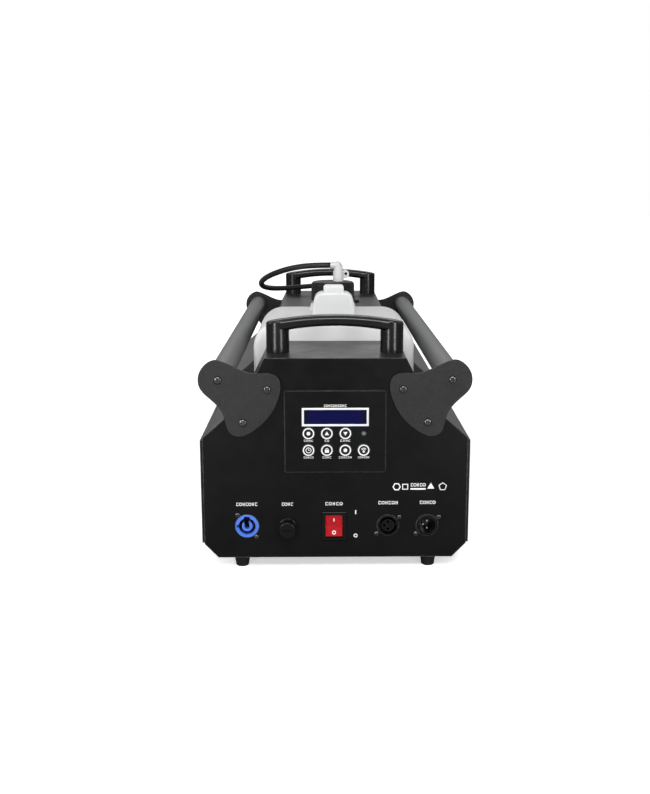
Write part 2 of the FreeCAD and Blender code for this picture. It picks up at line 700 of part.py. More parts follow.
def switch_rocker():
    """The rocker on its pivot, in the on position with its upper end pressed in."""
    x, z = SWITCH_AT
    profile = [
        (-ROCKER_HALF_Z, -1.5), (-ROCKER_HALF_Z + 0.6, 6.5), (0, 5.1),
        (ROCKER_HALF_Z - 0.6, 6.5), (ROCKER_HALF_Z, -1.5), (0, -3.0),
    ]
    corners = [V(x - ROCKER_HALF_X, PIVOT_Y - out, z + up) for up, out in profile]
    face = Part.Face(Part.makePolygon(corners + corners[:1]))
    rocker = face.extrude(V(2 * ROCKER_HALF_X, 0, 0))
    rocker = join(rocker, cylinder_x(PIVOT_Y, z, 1.5, x - 10.2, x + 10.2))
    rocker.rotate(V(x, PIVOT_Y, z), V(1, 0, 0), -ROCKER_TILT)
    return rocker


# ---- Heater, nozzle and pump -------------------------------------------------------------------
HEATER_HALF_X = 45.0
HEATER_HALF_Z = 30.0
HEATER_Y = (60.0, 270.0)
LAGGING = 15.0
COLLAR_NECK_R = 14.0


def heater_block():
    low, high = HEATER_Z - HEATER_HALF_Z, HEATER_Z + HEATER_HALF_Z
    block = box(-HEATER_HALF_X, HEATER_HALF_X, *HEATER_Y, low, high)
    return block.cut(cylinder_y(0, HEATER_Z, 6.0 + FIT, HEATER_Y[1] - 20, HEATER_Y[1] + 1))


def heater_insulation():
    """The lagging around the block, standing on four legs."""
    low, high = HEATER_Z - HEATER_HALF_Z, HEATER_Z + HEATER_HALF_Z
    y0, y1 = HEATER_Y
    jacket = box(-HEATER_HALF_X - LAGGING, HEATER_HALF_X + LAGGING, y0 - 10, y1 + 10,
                 low - LAGGING, high + LAGGING)
    jacket = jacket.cut(box(-HEATER_HALF_X, HEATER_HALF_X, y0, y1, low, high))
    jacket = jacket.cut(cylinder_y(0, HEATER_Z, 8.0 + FIT, y1, y1 + 11))
    jacket = jacket.cut(cylinder_y(PUMP_X, 76.0, 3.0 + FIT, y0 - 11, y0))
    for x in (-48.0, 48.0):
        for y in (y0 + 10, y1 - 10):
            leg = cylinder_z(x, y, 6.0, BODY_BOTTOM + SKIN_T, low - LAGGING)
            jacket = jacket.fuse(leg)
    return jacket


def nozzle():
    """The outlet pipe from the heater, with the collar that stands out of the front panel."""
    tip = PANEL_Y + OVERHANG
    pipe = cylinder_y(0, HEATER_Z, 6.0, HEATER_Y[1] - 20, tip - 4)
    step = cylinder_y(0, HEATER_Z, 8.0, HEATER_Y[1], PANEL_INNER - 8)
    neck = cylinder_y(0, HEATER_Z, COLLAR_NECK_R, PANEL_INNER - 8, tip - 4)
    collar = cylinder_y(0, HEATER_Z, 16.0, PANEL_Y + 0.5, tip)
    rim = [edge for edge in collar.Edges if abs(edge.CenterOfMass.y - tip) < 0.01]
    collar = collar.makeChamfer(1.2, rim[:1])
    shape = join(pipe, step, neck, collar)
    shape = shape.cut(cylinder_y(0, HEATER_Z, 1.8, HEATER_Y[1] - 21, tip + 1))
    mouth = Part.makeCone(1.8, 9.0, 8.0, V(0, tip - 8, HEATER_Z), V(0, 1, 0))
    return shape.cut(mouth)


PLUNGER_R = 6.0


def pump_body():
    """The coil case on its rubber foot, with the inlet stub on top and the feed pipe in front."""
    x, y = PUMP_X, PUMP_Y
    foot = box(x - 16, x + 16, y - 16, y + 16, BODY_BOTTOM + SKIN_T, 36.0)
    case = box(x - 20, x + 20, y - 20, y + 20, 36.0, 86.0)
    stub = join(cylinder_z(x, y, 9.0, 86.0, 90.0), cylinder_z(x, y, 5.0, 90.0, 96.0))
    pipe = cylinder_y(x, 76.0, 3.0, y + 20, HEATER_Y[0])
    shape = join(foot, case, stub, pipe)
    return shape.cut(cylinder_z(x, y, PLUNGER_R + FIT, 42.0, 72.0))


def pump_plunger():
    return cylinder_z(PUMP_X, PUMP_Y, PLUNGER_R, 43.0, 66.0)


def relay_board():
    """The power board on four posts, with its relays and heat sink."""
    x0, x1, y0, y1 = 15.0, 120.0, -315.0, -245.0
    deck = 24.0
    board = box(x0, x1, y0, y1, deck, deck + 1.6)
    for x in (x0 + 5, x1 - 5):
        for y in (y0 + 5, y1 - 5):
            board = board.fuse(cylinder_z(x, y, 2.5, BODY_BOTTOM + SKIN_T, deck))
    for i in range(3):
        x = x0 + 12 + i * 22
        board = board.fuse(box(x, x + 16, y0 + 10, y0 + 40, deck + 1.6, deck + 18))
    sink = box(x1 - 22, x1 - 6, y0 + 12, y1 - 12, deck + 1.6, deck + 26)
    return board.fuse(sink).removeSplitter()


# ---- Fluid tank ---------------------------------------------------------------------------------
GRIP_REAR = -203.0
GRIP_FRONT = -123.0
NECK_R = 22.0


def rounded_block(half_x, y0, y1, z0, z1, top_r, side_r):
    """A blow-moulded block: large rounds along its long top edges, smaller rounds elsewhere."""
    block = box(-half_x, half_x, y0, y1, z0, z1)
    along_top = []
    for edge in block.Edges:
        middle = edge.CenterOfMass
        if abs(middle.z - z1) < 0.01 and abs(abs(middle.x) - half_x) < 0.01:
            along_top.append(edge)
    block = block.makeFillet(top_r, along_top)
    others = []
    for edge in block.Edges:
        middle = edge.CenterOfMass
        at_end = min(abs(middle.y - y0), abs(middle.y - y1)) < 0.01
        at_bottom = abs(middle.z - z0) < 0.01
        if at_end or at_bottom:
            others.append(edge)
    return block.makeFillet(side_r, others)


def tank_grip():
    """The moulded loop handle on top of the tank: a domed pillar, a sloping bar and a front post."""
    low = TANK_TOP - 6
    half_bar = 11.5
    half_depth = 13.5
    crown = [(25.2, 254.0), (24.3, 264.0), (22.7, 272.0), (20.4, 277.8), (16.3, 280.8), (9.0, 281.8)]
    dome = Part.BSplineCurve()
    dome.interpolate([V(x, GRIP_REAR, z) for x, z in both_ways(crown)])
    feet = [V(-crown[0][0], GRIP_REAR, crown[0][1]), V(-crown[0][0], GRIP_REAR, low),
            V(crown[0][0], GRIP_REAR, low), V(crown[0][0], GRIP_REAR, crown[0][1])]
    sides = [Part.LineSegment(feet[i], feet[i + 1]).toShape() for i in range(3)]
    rear = Part.Face(Part.Wire([dome.toShape()] + sides)).extrude(V(0, 2 * half_depth, 0))
    middle = GRIP_REAR + half_depth
    rims = [edge for edge in rear.Edges if edge.CenterOfMass.z > TANK_TOP
            and abs(abs(edge.CenterOfMass.y - middle) - half_depth) < 0.01]
    rear = rear.makeFillet(3.0, rims)
    side = [(GRIP_REAR + 3, 275.0), (GRIP_REAR + 3, 290.0), (GRIP_REAR + 16, 290.0),
            (GRIP_FRONT, 283.3), (GRIP_FRONT, 275.0)]
    corners = [V(-half_bar, y, z) for y, z in side]
    bar = Part.Face(Part.makePolygon(corners + corners[:1])).extrude(V(2 * half_bar, 0, 0))
    top_edges = [edge for edge in bar.Edges if edge.CenterOfMass.z > 283.4]
    bar = bar.makeFillet(3.4, top_edges)
    front = box(-half_bar, half_bar, GRIP_FRONT - 13, GRIP_FRONT, low, 282.0)
    return [rear, front, bar]


def tank_body():
    outer = rounded_block(TANK_HALF, TANK_REAR, TANK_FRONT, TANK_BOTTOM, TANK_TOP, 30.0, 7.0)
    inner = rounded_block(TANK_HALF - TANK_WALL, TANK_REAR + TANK_WALL, TANK_FRONT - TANK_WALL,
                          TANK_BOTTOM + TANK_WALL, TANK_TOP - TANK_WALL, 28.0, 5.0)
    boss = Part.makeCone(29.6, 27.0, 9.0, V(0, CAP_Y, TANK_TOP - 1))
    neck = cylinder_z(0, CAP_Y, NECK_R, TANK_TOP - 1, 278.0)
    shape = join(outer, *tank_grip(), boss, neck)
    shape = shape.cut(inner)
    return shape.cut(cylinder_z(0, CAP_Y, NECK_R - 4, TANK_TOP - 5, 279.0))


def cap_ring():
    """The ribbed screw ring that clamps the insert to the tank's neck."""
    ring = cylinder_z(0, CAP_Y, CAP_R, CAP_BOTTOM, CAP_TOP)
    rim = [edge for edge in ring.Edges if abs(edge.CenterOfMass.z - CAP_TOP) < 0.01]
    ring = ring.makeFillet(4.0, rim[:1])
    for i in range(40):
        angle = math.radians(9 * i)
        x = (CAP_R + 0.25) * math.cos(angle)
        y = CAP_Y + (CAP_R + 0.25) * math.sin(angle)
        ring = ring.cut(cylinder_z(x, y, 0.75, CAP_BOTTOM - 1, CAP_TOP - 5))
    ring = ring.cut(cylinder_z(0, CAP_Y, NECK_R + GAP, CAP_BOTTOM - 1, CAP_TOP - 4))
    return ring.cut(cylinder_z(0, CAP_Y, 15.0 + GAP, CAP_TOP - 5, CAP_TOP + 1))


def cap_insert():
    """The fixed disc in the ring, which carries the coupling."""
    seat = 278.0
    disc = cylinder_z(0, CAP_Y, 15.0, seat, CAP_TOP)
    flange = cylinder_z(0, CAP_Y, 20.5, seat, CAP_TOP - 4 - GAP)
    shape = join(disc, flange)
    return shape.cut(cylinder_z(COUPLING_X, CAP_Y, 3.0 + FIT, seat - 1, CAP_TOP + 1))


def dip_tube():
    """The pick-up tube and its strainer, near the bottom of the tank."""
    tube = cylinder_z(COUPLING_X, CAP_Y, 3.0, 52.0, CAP_TOP)
    strainer = cylinder_z(COUPLING_X, CAP_Y, 7.0, 38.0, 56.0)
    return join(tube, strainer)


BARREL_R = 6.7
BARREL_TOP = 297.0
ELBOW_STEM = 289.0
HOSE_END = (-3.0, CAP_Y, 305.0)
LATCH_X = 13.1
LATCH_Z = 294.0
LATCH_R = 5.4
LATCH_TRAVEL = 1.5


def coupling_socket():
    """The quick-release socket, with the pocket that its latch moves in."""
    barrel = cylinder_z(COUPLING_X, CAP_Y, BARREL_R, CAP_TOP, BARREL_TOP)
    barrel = barrel.cut(cylinder_z(COUPLING_X, CAP_Y, 3.6, ELBOW_STEM, BARREL_TOP + 1))
    pocket = box(LATCH_X - 2.0, COUPLING_X + BARREL_R + 1, CAP_Y - 1.8, CAP_Y + 1.8, 287.6, BARREL_TOP + 1)
    return barrel.cut(pocket)


def coupling_latch():
    """The finger ring that is pressed inwards to free the elbow."""
    disc = cylinder_y(LATCH_X + 1.8, LATCH_Z, LATCH_R, CAP_Y - 1.4, CAP_Y + 1.4)
    disc = disc.cut(box(LATCH_X - 10, LATCH_X, CAP_Y - 3, CAP_Y + 3, LATCH_Z - 8, LATCH_Z + 8))
    return disc.cut(cylinder_y(LATCH_X + 3.2, LATCH_Z + 0.4, 1.9, CAP_Y - 3, CAP_Y + 3))


def coupling_elbow():
    """The plug-in elbow that turns the flow towards the hose."""
    stem = cylinder_z(COUPLING_X, CAP_Y, 3.6, ELBOW_STEM, BARREL_TOP)
    riser = Part.makeCone(6.0, 5.0, 8.0, V(COUPLING_X, CAP_Y, BARREL_TOP))
    knuckle = Part.makeSphere(5.0, V(COUPLING_X - 1, CAP_Y, HOSE_END[2]))
    arm = Part.makeCone(4.6, 4.2, COUPLING_X - 1 - HOSE_END[0], V(COUPLING_X - 1, CAP_Y, HOSE_END[2]),
                        V(-1, 0, 0))
    elbow = join(stem, riser, knuckle, arm)
    latch_space = box(LATCH_X - LATCH_TRAVEL - GAP, COUPLING_X + 7, CAP_Y - 1.8, CAP_Y + 1.8,
                      BARREL_TOP - 1, LATCH_Z + LATCH_R + GAP)
    return elbow.cut(latch_space)


# ---- Hoses ---------------------------------------------------------------------------------------
GLAND_TOP = BODY_TOP + 5.8

FEED_ROUTE = [
    HOSE_END, (-27, -95, 305), (-52, -88, 301), (-73, -71, 293.5), (-88, -45, 284.5),
    (-95, -13, 275.5), (-94, 19, 267.5), (-84, 50, 262), (-66, 78, 259.5), (-44, 101, 259),
    (-20, 120, 259.5), (1, 137, 258.5), (17.5, 152, 254.5), (27.5, 165, 246.5),
    (GLAND_X, GLAND_Y, GLAND_TOP),
]

SUPPLY_ROUTE = [
    (GLAND_X, GLAND_Y, 221), (GLAND_X, GLAND_Y, 201), (32, 152, 183), (34, 116, 175), (36, 76, 170),
    (38, 38, 158), (38.5, 12, 136), (38, PUMP_Y, 112), (PUMP_X, PUMP_Y, 96),
]


def hose_gland():
    """The hose fitting on the front hood, with its nut inside."""
    dome = cylinder_z(GLAND_X, GLAND_Y, 12.4, BODY_TOP, BODY_TOP + 4)
    rim = [edge for edge in dome.Edges if abs(edge.CenterOfMass.z - BODY_TOP - 4) < 0.01]
    dome = dome.makeFillet(2.2, rim[:1])
    mouth = V(*FEED_ROUTE[-1])
    leaning = V(*FEED_ROUTE[-2]) - mouth
    leaning.normalize()
    neck_length = 9.0
    neck = Part.makeCylinder(5.2, neck_length, mouth - leaning * neck_length, leaning)
    thread = cylinder_z(GLAND_X, GLAND_Y, 8.0, 221.0, BODY_TOP)
    nut = hexagon(11.5, 4.5, V(GLAND_X, GLAND_Y, BODY_TOP - SKIN_T - 4.5), V(0, 0, 1))
    return join(dome, neck, thread, nut)


# ---- Everything ------------------------------------------------------------------------------------
def build():
    os.makedirs("parts", exist_ok=True)
    right_cover = side_cover()
    rear_right = bracket()
    right_tube = side_tube()
    nodes = {
        "base_tray": base_tray(),
        "right_side_cover": right_cover,
        "left_side_cover": mirror_x(right_cover),
        "rear_panel": rear_panel(),
        "front_panel": front_panel(),
        "rear_hood": rear_hood(),
        "front_hood": front_hood(),
        "rear_bulkhead": bulkhead(BAY_REAR - SKIN_T, BAY_REAR),
        "front_bulkhead": bulkhead(BAY_FRONT, BAY_FRONT + SKIN_T),
        "tank_cradle": tank_cradle(),
        "bracket_rear_right": rear_right,
        "bracket_rear_left": mirror_x(rear_right),
        "bracket_front_right": mirror_y(rear_right),
        "bracket_front_left": mirror_y(mirror_x(rear_right)),
        "right_side_tube": right_tube,
        "left_side_tube": mirror_x(right_tube),
        "tube_end_plugs": four_ends(end_plug()),
        "bracket_screws": bracket_screws(),
        "rear_handle": handle(-HANDLE_Y),
        "front_handle": handle(HANDLE_Y),
        "rubber_feet": rubber_feet(),
        "case_screws": case_screws(),
        "control_bezel": control_bezel(),
        "display_frame": display_frame(),
        "display_window": display_window(),
        "control_board": control_board(),
        "power_inlet": power_inlet(),
        "data_out_socket": data_out_socket(),
        "data_in_shell": data_in_shell(),
        "data_in_pins": data_in_pins(),
        "connector_screws": connector_screws(),
        "fuse_holder": fuse_holder(),
        "fuse_carrier": fuse_carrier(),
        "fuse_link": fuse_link(),
        "fuse_cap": fuse_cap(),
        "switch_body": switch_body(),
        "switch_rocker": switch_rocker(),
        "heater_block": heater_block(),
        "heater_insulation": heater_insulation(),
        "nozzle": nozzle(),
        "pump_body": pump_body(),
        "pump_plunger": pump_plunger(),
        "relay_board": relay_board(),
        "supply_tube": routed_tube("supply_tube", SUPPLY_ROUTE, 6.0),
        "tank_body": tank_body(),
        "cap_ring": cap_ring(),
        "cap_insert": cap_insert(),
        "dip_tube": dip_tube(),
        "coupling_socket": coupling_socket(),
        "coupling_latch": coupling_latch(),
        "coupling_elbow": coupling_elbow(),
        "hose_gland": hose_gland(),
        "feed_hose": routed_tube("feed_hose", FEED_ROUTE, HOSE_D),
    }
    for name, (x, z) in key_places():
        nodes[name] = panel_key(x, z)
    for name, shape in nodes.items():
        export(name, shape)
    print(len(nodes), "nodes")


build()
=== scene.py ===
"""Looks of the fog machine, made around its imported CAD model."""
import json
import math

import bpy
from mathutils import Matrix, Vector
from mathutils.bvhtree import BVHTree
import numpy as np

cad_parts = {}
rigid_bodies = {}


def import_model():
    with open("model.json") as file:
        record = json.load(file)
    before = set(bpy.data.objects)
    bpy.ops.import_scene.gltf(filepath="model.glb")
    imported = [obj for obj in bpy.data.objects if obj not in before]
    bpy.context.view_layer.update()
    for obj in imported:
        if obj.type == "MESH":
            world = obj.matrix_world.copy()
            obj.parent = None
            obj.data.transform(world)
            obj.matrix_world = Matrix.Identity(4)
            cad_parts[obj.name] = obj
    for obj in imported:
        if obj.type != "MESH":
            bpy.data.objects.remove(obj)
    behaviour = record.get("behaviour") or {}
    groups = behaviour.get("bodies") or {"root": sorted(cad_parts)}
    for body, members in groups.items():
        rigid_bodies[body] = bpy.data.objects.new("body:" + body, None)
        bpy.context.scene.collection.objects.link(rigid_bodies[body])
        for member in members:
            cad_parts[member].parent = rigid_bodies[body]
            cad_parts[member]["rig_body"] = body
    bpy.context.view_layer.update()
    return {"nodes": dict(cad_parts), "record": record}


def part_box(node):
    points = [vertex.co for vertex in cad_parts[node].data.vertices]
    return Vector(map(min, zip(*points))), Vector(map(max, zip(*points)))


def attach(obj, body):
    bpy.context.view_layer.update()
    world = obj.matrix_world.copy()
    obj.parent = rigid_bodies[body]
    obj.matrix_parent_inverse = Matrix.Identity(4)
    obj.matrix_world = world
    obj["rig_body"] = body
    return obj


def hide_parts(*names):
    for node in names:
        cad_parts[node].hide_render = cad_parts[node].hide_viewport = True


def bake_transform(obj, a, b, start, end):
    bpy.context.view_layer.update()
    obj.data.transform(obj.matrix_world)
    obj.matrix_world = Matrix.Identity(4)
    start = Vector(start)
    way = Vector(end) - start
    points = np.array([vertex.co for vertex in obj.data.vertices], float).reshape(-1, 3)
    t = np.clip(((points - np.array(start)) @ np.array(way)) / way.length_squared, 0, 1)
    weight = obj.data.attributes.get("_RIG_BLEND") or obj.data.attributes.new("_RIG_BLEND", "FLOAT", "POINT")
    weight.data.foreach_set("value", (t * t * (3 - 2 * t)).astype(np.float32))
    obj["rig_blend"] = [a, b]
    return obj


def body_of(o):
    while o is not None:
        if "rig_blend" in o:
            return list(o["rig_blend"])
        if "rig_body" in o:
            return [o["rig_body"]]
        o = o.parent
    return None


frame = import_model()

MM = 0.001
CORNERS = ((-1, -1), (1, -1), (1, 1), (-1, 1))    # a square's corners, anticlockwise
nodes = frame["nodes"]

# ---------------------------------------------------------------- objects and meshes


def new_object(name, data):
    """An object with this data, linked into the scene."""
    made = bpy.data.objects.new(name, data)
    bpy.context.scene.collection.objects.link(made)
    return made


def new_piece(name, verts, faces, material, smooth=False):
    """An object with this mesh and material."""
    mesh = bpy.data.meshes.new(name)
    mesh.from_pydata(verts, [], faces)
    mesh.validate()
    if smooth:
        mesh.shade_smooth()
    else:
        mesh.shade_flat()
    mesh.materials.append(material)
    return new_object(name, mesh)


def wall_faces(loops, sides):
    """The faces between loops of points that follow one another, each with this many sides."""
    faces = []
    for i in range(loops - 1):
        for k in range(sides):
            a = i * sides + k
            b = i * sides + (k + 1) % sides
            faces.append((a, b, b + sides, a + sides))
    return faces


# ---------------------------------------------------------------- camera

CAMERA_AT = (-0.01295, -1.38654, 0.40261)
CAMERA_DOWN_DEG = 11.67
CAMERA_TURN_DEG = -0.83
SENSOR_MM = 36.0
LENS_MM = 46.72
SHIFT = (-0.01558, 0.00131)


def add_camera():
    """The view of the photo."""
    data = bpy.data.cameras.new("camera")
    camera = new_object("camera", data)
    data.sensor_width = SENSOR_MM
    data.lens = LENS_MM
    data.shift_x, data.shift_y = SHIFT
    data.clip_start = 0.01
    data.clip_end = 100.0
    camera.location = CAMERA_AT
    camera.rotation_euler = (math.radians(90.0 - CAMERA_DOWN_DEG), 0.0,
                             math.radians(CAMERA_TURN_DEG))
    bpy.context.scene.camera = camera


# ---------------------------------------------------------------- feed hose

HOSE_WIDTH = 0.007
HOSE_SIDES = 24

# From the elbow on the tank, round the left of the grip, to the gland on the front hood.
FEED_ROUTE = (
    (-0.003, -0.095, 0.305),
    (-0.027, -0.095, 0.305),
    (-0.052, -0.088, 0.301),
    (-0.073, -0.071, 0.2935),
    (-0.088, -0.045, 0.2845),
    (-0.095, -0.013, 0.2755),
    (-0.094, 0.019, 0.2675),
    (-0.084, 0.050, 0.262),
    (-0.066, 0.078, 0.2595),
    (-0.044, 0.101, 0.259),
    (-0.020, 0.120, 0.2595),
    (0.001, 0.137, 0.2585),
    (0.0175, 0.152, 0.2545),
    (0.0275, 0.165, 0.2465),
    (0.0305, 0.172, 0.235),
)


def smooth_line(points):
    """Points along the NURBS spline that has these control points."""
    curve = bpy.data.curves.new("route", "CURVE")
    curve.dimensions = "3D"
    spline = curve.splines.new("NURBS")
    spline.points.add(len(points) - 1)
    for control, place in zip(spline.points, points):
        control.co = (*place, 1.0)
    spline.order_u = 3
    spline.use_endpoint_u = True
    spline.resolution_u = 10
    holder = new_object("route", curve)
    bpy.context.view_layer.update()
    mesh = bpy.data.meshes.new_from_object(holder)
    line = [v.co.copy() for v in mesh.vertices]
    bpy.data.objects.remove(holder)
    bpy.data.curves.remove(curve)
    bpy.data.meshes.remove(mesh)
    return line


def tube_mesh(line, width, sides):
    """A closed round tube along a line of points: its points and faces."""
    verts = []
    side = Vector((0.0, 0.0, 1.0))
    for i, here in enumerate(line):
        ahead = line[min(i + 1, len(line) - 1)] - line[max(i - 1, 0)]
        ahead.normalize()
        side = (side - ahead * side.dot(ahead)).normalized()
        across = ahead.cross(side)
        for k in range(sides):
            turn = math.tau * k / sides
            verts.append(here + (side * math.cos(turn) + across * math.sin(turn)) * width / 2)
    last = (len(line) - 1) * sides
    start_cap = tuple(reversed(range(sides)))
    end_cap = tuple(range(last, last + sides))
    return verts, [start_cap, *wall_faces(len(line), sides), end_cap]


def add_feed_hose(material):
    """The hose from the gland, joined to the body, to the elbow, joined to the tank."""
    line = smooth_line(FEED_ROUTE)
    line.reverse()
    verts, faces = tube_mesh(line, HOSE_WIDTH, HOSE_SIDES)
    hose = new_piece("fluid_hose", verts, faces, material, smooth=True)
    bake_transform(hose, "body", "tank", start=(0.0, 0.165, 0.25), end=(0.0, -0.088, 0.25))
    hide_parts("feed_hose")


# ---------------------------------------------------------------- materials


def linear(*levels):
    """A colour given as display levels from 0 to 255, as the shader's linear values."""
    out = []
    for level in levels:
        share = level / 255.0
        out.append(share / 12.92 if share <= 0.04045 else ((share + 0.055) / 1.055) ** 2.4)
    return (*out, 1.0)


class Look:
    """A Principled material in object coordinates, with calls for the nodes the looks share."""

    def __init__(self, name, **sockets):
        self.material = bpy.data.materials.new(name)
        self.material.use_nodes = True
        self.tree = self.material.node_tree
        self.shader = self.tree.nodes["Principled BSDF"]
        self.place = self.node("ShaderNodeTexCoord").outputs["Object"]
        for socket, value in sockets.items():
            self.shader.inputs[socket.replace("_", " ")].default_value = value

    def node(self, kind, inputs=None, **settings):
        made = self.tree.nodes.new(kind)
        for name, value in settings.items():
            setattr(made, name, value)
        for name, value in (inputs or {}).items():
            if isinstance(value, bpy.types.NodeSocket):
                self.tree.links.new(value, made.inputs[name])
            else:
                made.inputs[name].default_value = value
        return made

    def stretched(self, factors):
        """The place, scaled along each axis."""
        made = self.node("ShaderNodeMapping", {"Vector": self.place, "Scale": factors})
        return made.outputs["Vector"]

    def noise(self, per_metre, detail=2.0, place=None):
        inputs = {"Vector": place or self.place, "Scale": per_metre, "Detail": detail}
        return self.node("ShaderNodeTexNoise", inputs).outputs["Fac"]

    def cells(self, per_metre):
        inputs = {"Vector": self.place, "Scale": per_metre}
        return self.node("ShaderNodeTexVoronoi", inputs).outputs["Distance"]

    def spread(self, value, low, high, to_low, to_high):
        """The value moved from one range to another, and held at the ends."""
        inputs = {"Value": value, "From Min": low, "From Max": high,
                  "To Min": to_low, "To Max": to_high}
        return self.node("ShaderNodeMapRange", inputs).outputs["Result"]

    def maths(self, operation, a, b=0.0):
        made = self.node("ShaderNodeMath", {0: a, 1: b}, operation=operation)
        return made.outputs["Value"]

    def blend(self, factor, a, b):
        made = self.node("ShaderNodeMix", data_type="RGBA")
        for index, value in ((0, factor), (6, a), (7, b)):
            if isinstance(value, bpy.types.NodeSocket):
                self.tree.links.new(value, made.inputs[index])
            else:
                made.inputs[index].default_value = value
        return made.outputs[2]

    def axis(self, name):
        return self.node("ShaderNodeSeparateXYZ", {"Vector": self.place}).outputs[name]

    def edges(self, width):
        """1 on a sharp edge and 0 on a flat face, for rubbed paint and a painted edge highlight."""
        rounded = self.node("ShaderNodeBevel", {"Radius": width}, samples=4).outputs["Normal"]
        flat = self.node("ShaderNodeNewGeometry").outputs["Normal"]
        made = self.node("ShaderNodeVectorMath", {0: rounded, 1: flat}, operation="DOT_PRODUCT")
        return self.spread(made.outputs["Value"], 0.995, 0.80, 0.0, 1.0)

    def colour(self, value):
        self.link(value, "Base Color")

    def roughness(self, value):
        self.link(value, "Roughness")

    def cloudy_colour(self, per_metre, detail, one, other):
        """A colour that wanders between two, which are given as display levels."""
        self.colour(self.blend(self.noise(per_metre, detail), linear(*one), linear(*other)))

    def cloudy_roughness(self, per_metre, detail, low, high):
        """A roughness that wanders between two."""
        self.roughness(self.spread(self.noise(per_metre, detail), 0.3, 0.7, low, high))

    def link(self, value, socket):
        self.tree.links.new(value, self.shader.inputs[socket])

    def bump(self, *layers):
        """Layers of (height from 0 to 1, depth in metres), one on another."""
        normal = None
        for height, depth in layers:
            inputs = {"Height": height, "Strength": 1.0, "Distance": depth}
            if normal:
                inputs["Normal"] = normal
            normal = self.node("ShaderNodeBump", inputs).outputs["Normal"]
        self.link(normal, "Normal")


def coated_metal(name, dark, light, rough, grain=1500.0, depth=0.00004, edge_rub_and_sheen=70, speckle=0.0,
                 uneven=0.06, ior=1.26):
    """Powder coat: fine pebbled skin, a little cloudy, edges paler from rubbing and a painted highlight."""
    look = Look(name, IOR=ior)
    cloud = look.noise(14.0, 4.0)
    base = look.blend(look.spread(cloud, 0.35, 0.65, 0.0, 1.0), linear(*dark), linear(*light))
    flecks = look.spread(look.noise(grain * 1.4, 1.0), 0.56, 0.72, 0.0, speckle)
    coat = look.blend(flecks, base, linear(*(level + 60 for level in light)))
    # Paler sharp edges: partly rubbed paint, partly a painted highlight along the edges.
    if edge_rub_and_sheen:
        patchy = look.spread(look.noise(220.0, 3.0), 0.35, 0.6, 0.5, 1.0)
        rubbed_and_lit_edges = look.maths("MULTIPLY", look.edges(0.0014), patchy)
        coat = look.blend(rubbed_and_lit_edges, coat, linear(*(level + edge_rub_and_sheen for level in light)))
    look.colour(coat)
    look.cloudy_roughness(60.0, 3.0, rough - uneven, rough + uneven)
    look.bump((look.noise(grain, 2.0), depth), (look.noise(grain / 4, 2.0), depth))
    return look.material


def moulded_plastic(name, dark, light, rough, grain=2600.0, depth=0.000015, uneven=0.05, **sockets):
    """Injection-moulded plastic with a fine even grain."""
    look = Look(name, **sockets)
    look.cloudy_colour(35.0, 3.0, dark, light)
    look.cloudy_roughness(90.0, 3.0, rough - uneven, rough + uneven)
    look.bump((look.noise(grain, 2.0), depth))
    return look.material


def worked_metal(name, dark, light, rough, stretch=(1.0, 1.0, 1.0)):
    """Bare metal with fine tool marks, which can be drawn out along one axis."""
    look = Look(name, Metallic=1.0)
    marks = look.noise(900.0, 3.0, look.stretched(stretch))
    look.colour(look.blend(marks, linear(*dark), linear(*light)))
    look.cloudy_roughness(120.0, 3.0, rough - 0.06, rough + 0.08)
    look.bump((marks, 0.00001))
    return look.material


def black_oxide():
    """The blackened steel of the screws."""
    look = Look("screw_black", Metallic=1.0)
    look.cloudy_colour(400.0, 3.0, (74, 74, 76), (104, 104, 106))
    look.cloudy_roughness(700.0, 2.0, 0.09, 0.16)
    look.bump((look.noise(1800.0, 2.0), 0.00001))
    return look.material


CHARACTER_HALF = (0.0017, 0.0031)    # half a character's pitch, across and up


def display_glass():
    """Deep blue with darker ends, a painted shadow of the frame at the edges and a faint character grid."""
    look = Look("lcd_glass", Roughness=0.35, IOR=1.15)
    low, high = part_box("display_window")
    middle = (low + high) / 2
    half = (high - low) / 2
    from_side = look.maths("ABSOLUTE", look.maths("SUBTRACT", look.axis("X"), middle.x))
    from_line = look.maths("ABSOLUTE", look.maths("SUBTRACT", look.axis("Z"), middle.z))
    end_band = look.spread(from_side, half.x - 0.0065, half.x - 0.0040, 0.0, 1.0)
    # Painted shadow: a dark band along the glass's edges, where the frame shades it.
    side_shadow_mask = look.spread(from_side, half.x - 0.0022, half.x - 0.0008, 0.0, 1.0)
    line_shadow_mask = look.spread(from_line, half.z - 0.0020, half.z - 0.0006, 0.0, 1.0)
    frame_shadow_mask = look.maths("MAXIMUM", side_shadow_mask, line_shadow_mask)
    columns = look.maths("PINGPONG", look.axis("X"), CHARACTER_HALF[0])
    rows = look.maths("PINGPONG", look.maths("SUBTRACT", look.axis("Z"), middle.z),
                      CHARACTER_HALF[1])
    gap = look.maths("MAXIMUM", look.spread(columns, 0.0002, 0.0001, 0.0, 0.35),
                     look.spread(rows, 0.0003, 0.0001, 0.0, 0.5))
    lit = look.blend(gap, linear(7, 7, 52), linear(4, 4, 38))
    banded = look.blend(end_band, lit, linear(10, 10, 32))
    shown = look.blend(frame_shadow_mask, banded, linear(5, 4, 22))
    look.colour(shown)
    look.link(shown, "Emission Color")
    look.shader.inputs["Emission Strength"].default_value = 0.15
    look.bump((look.noise(900.0, 2.0), 0.000004))
    return look.material


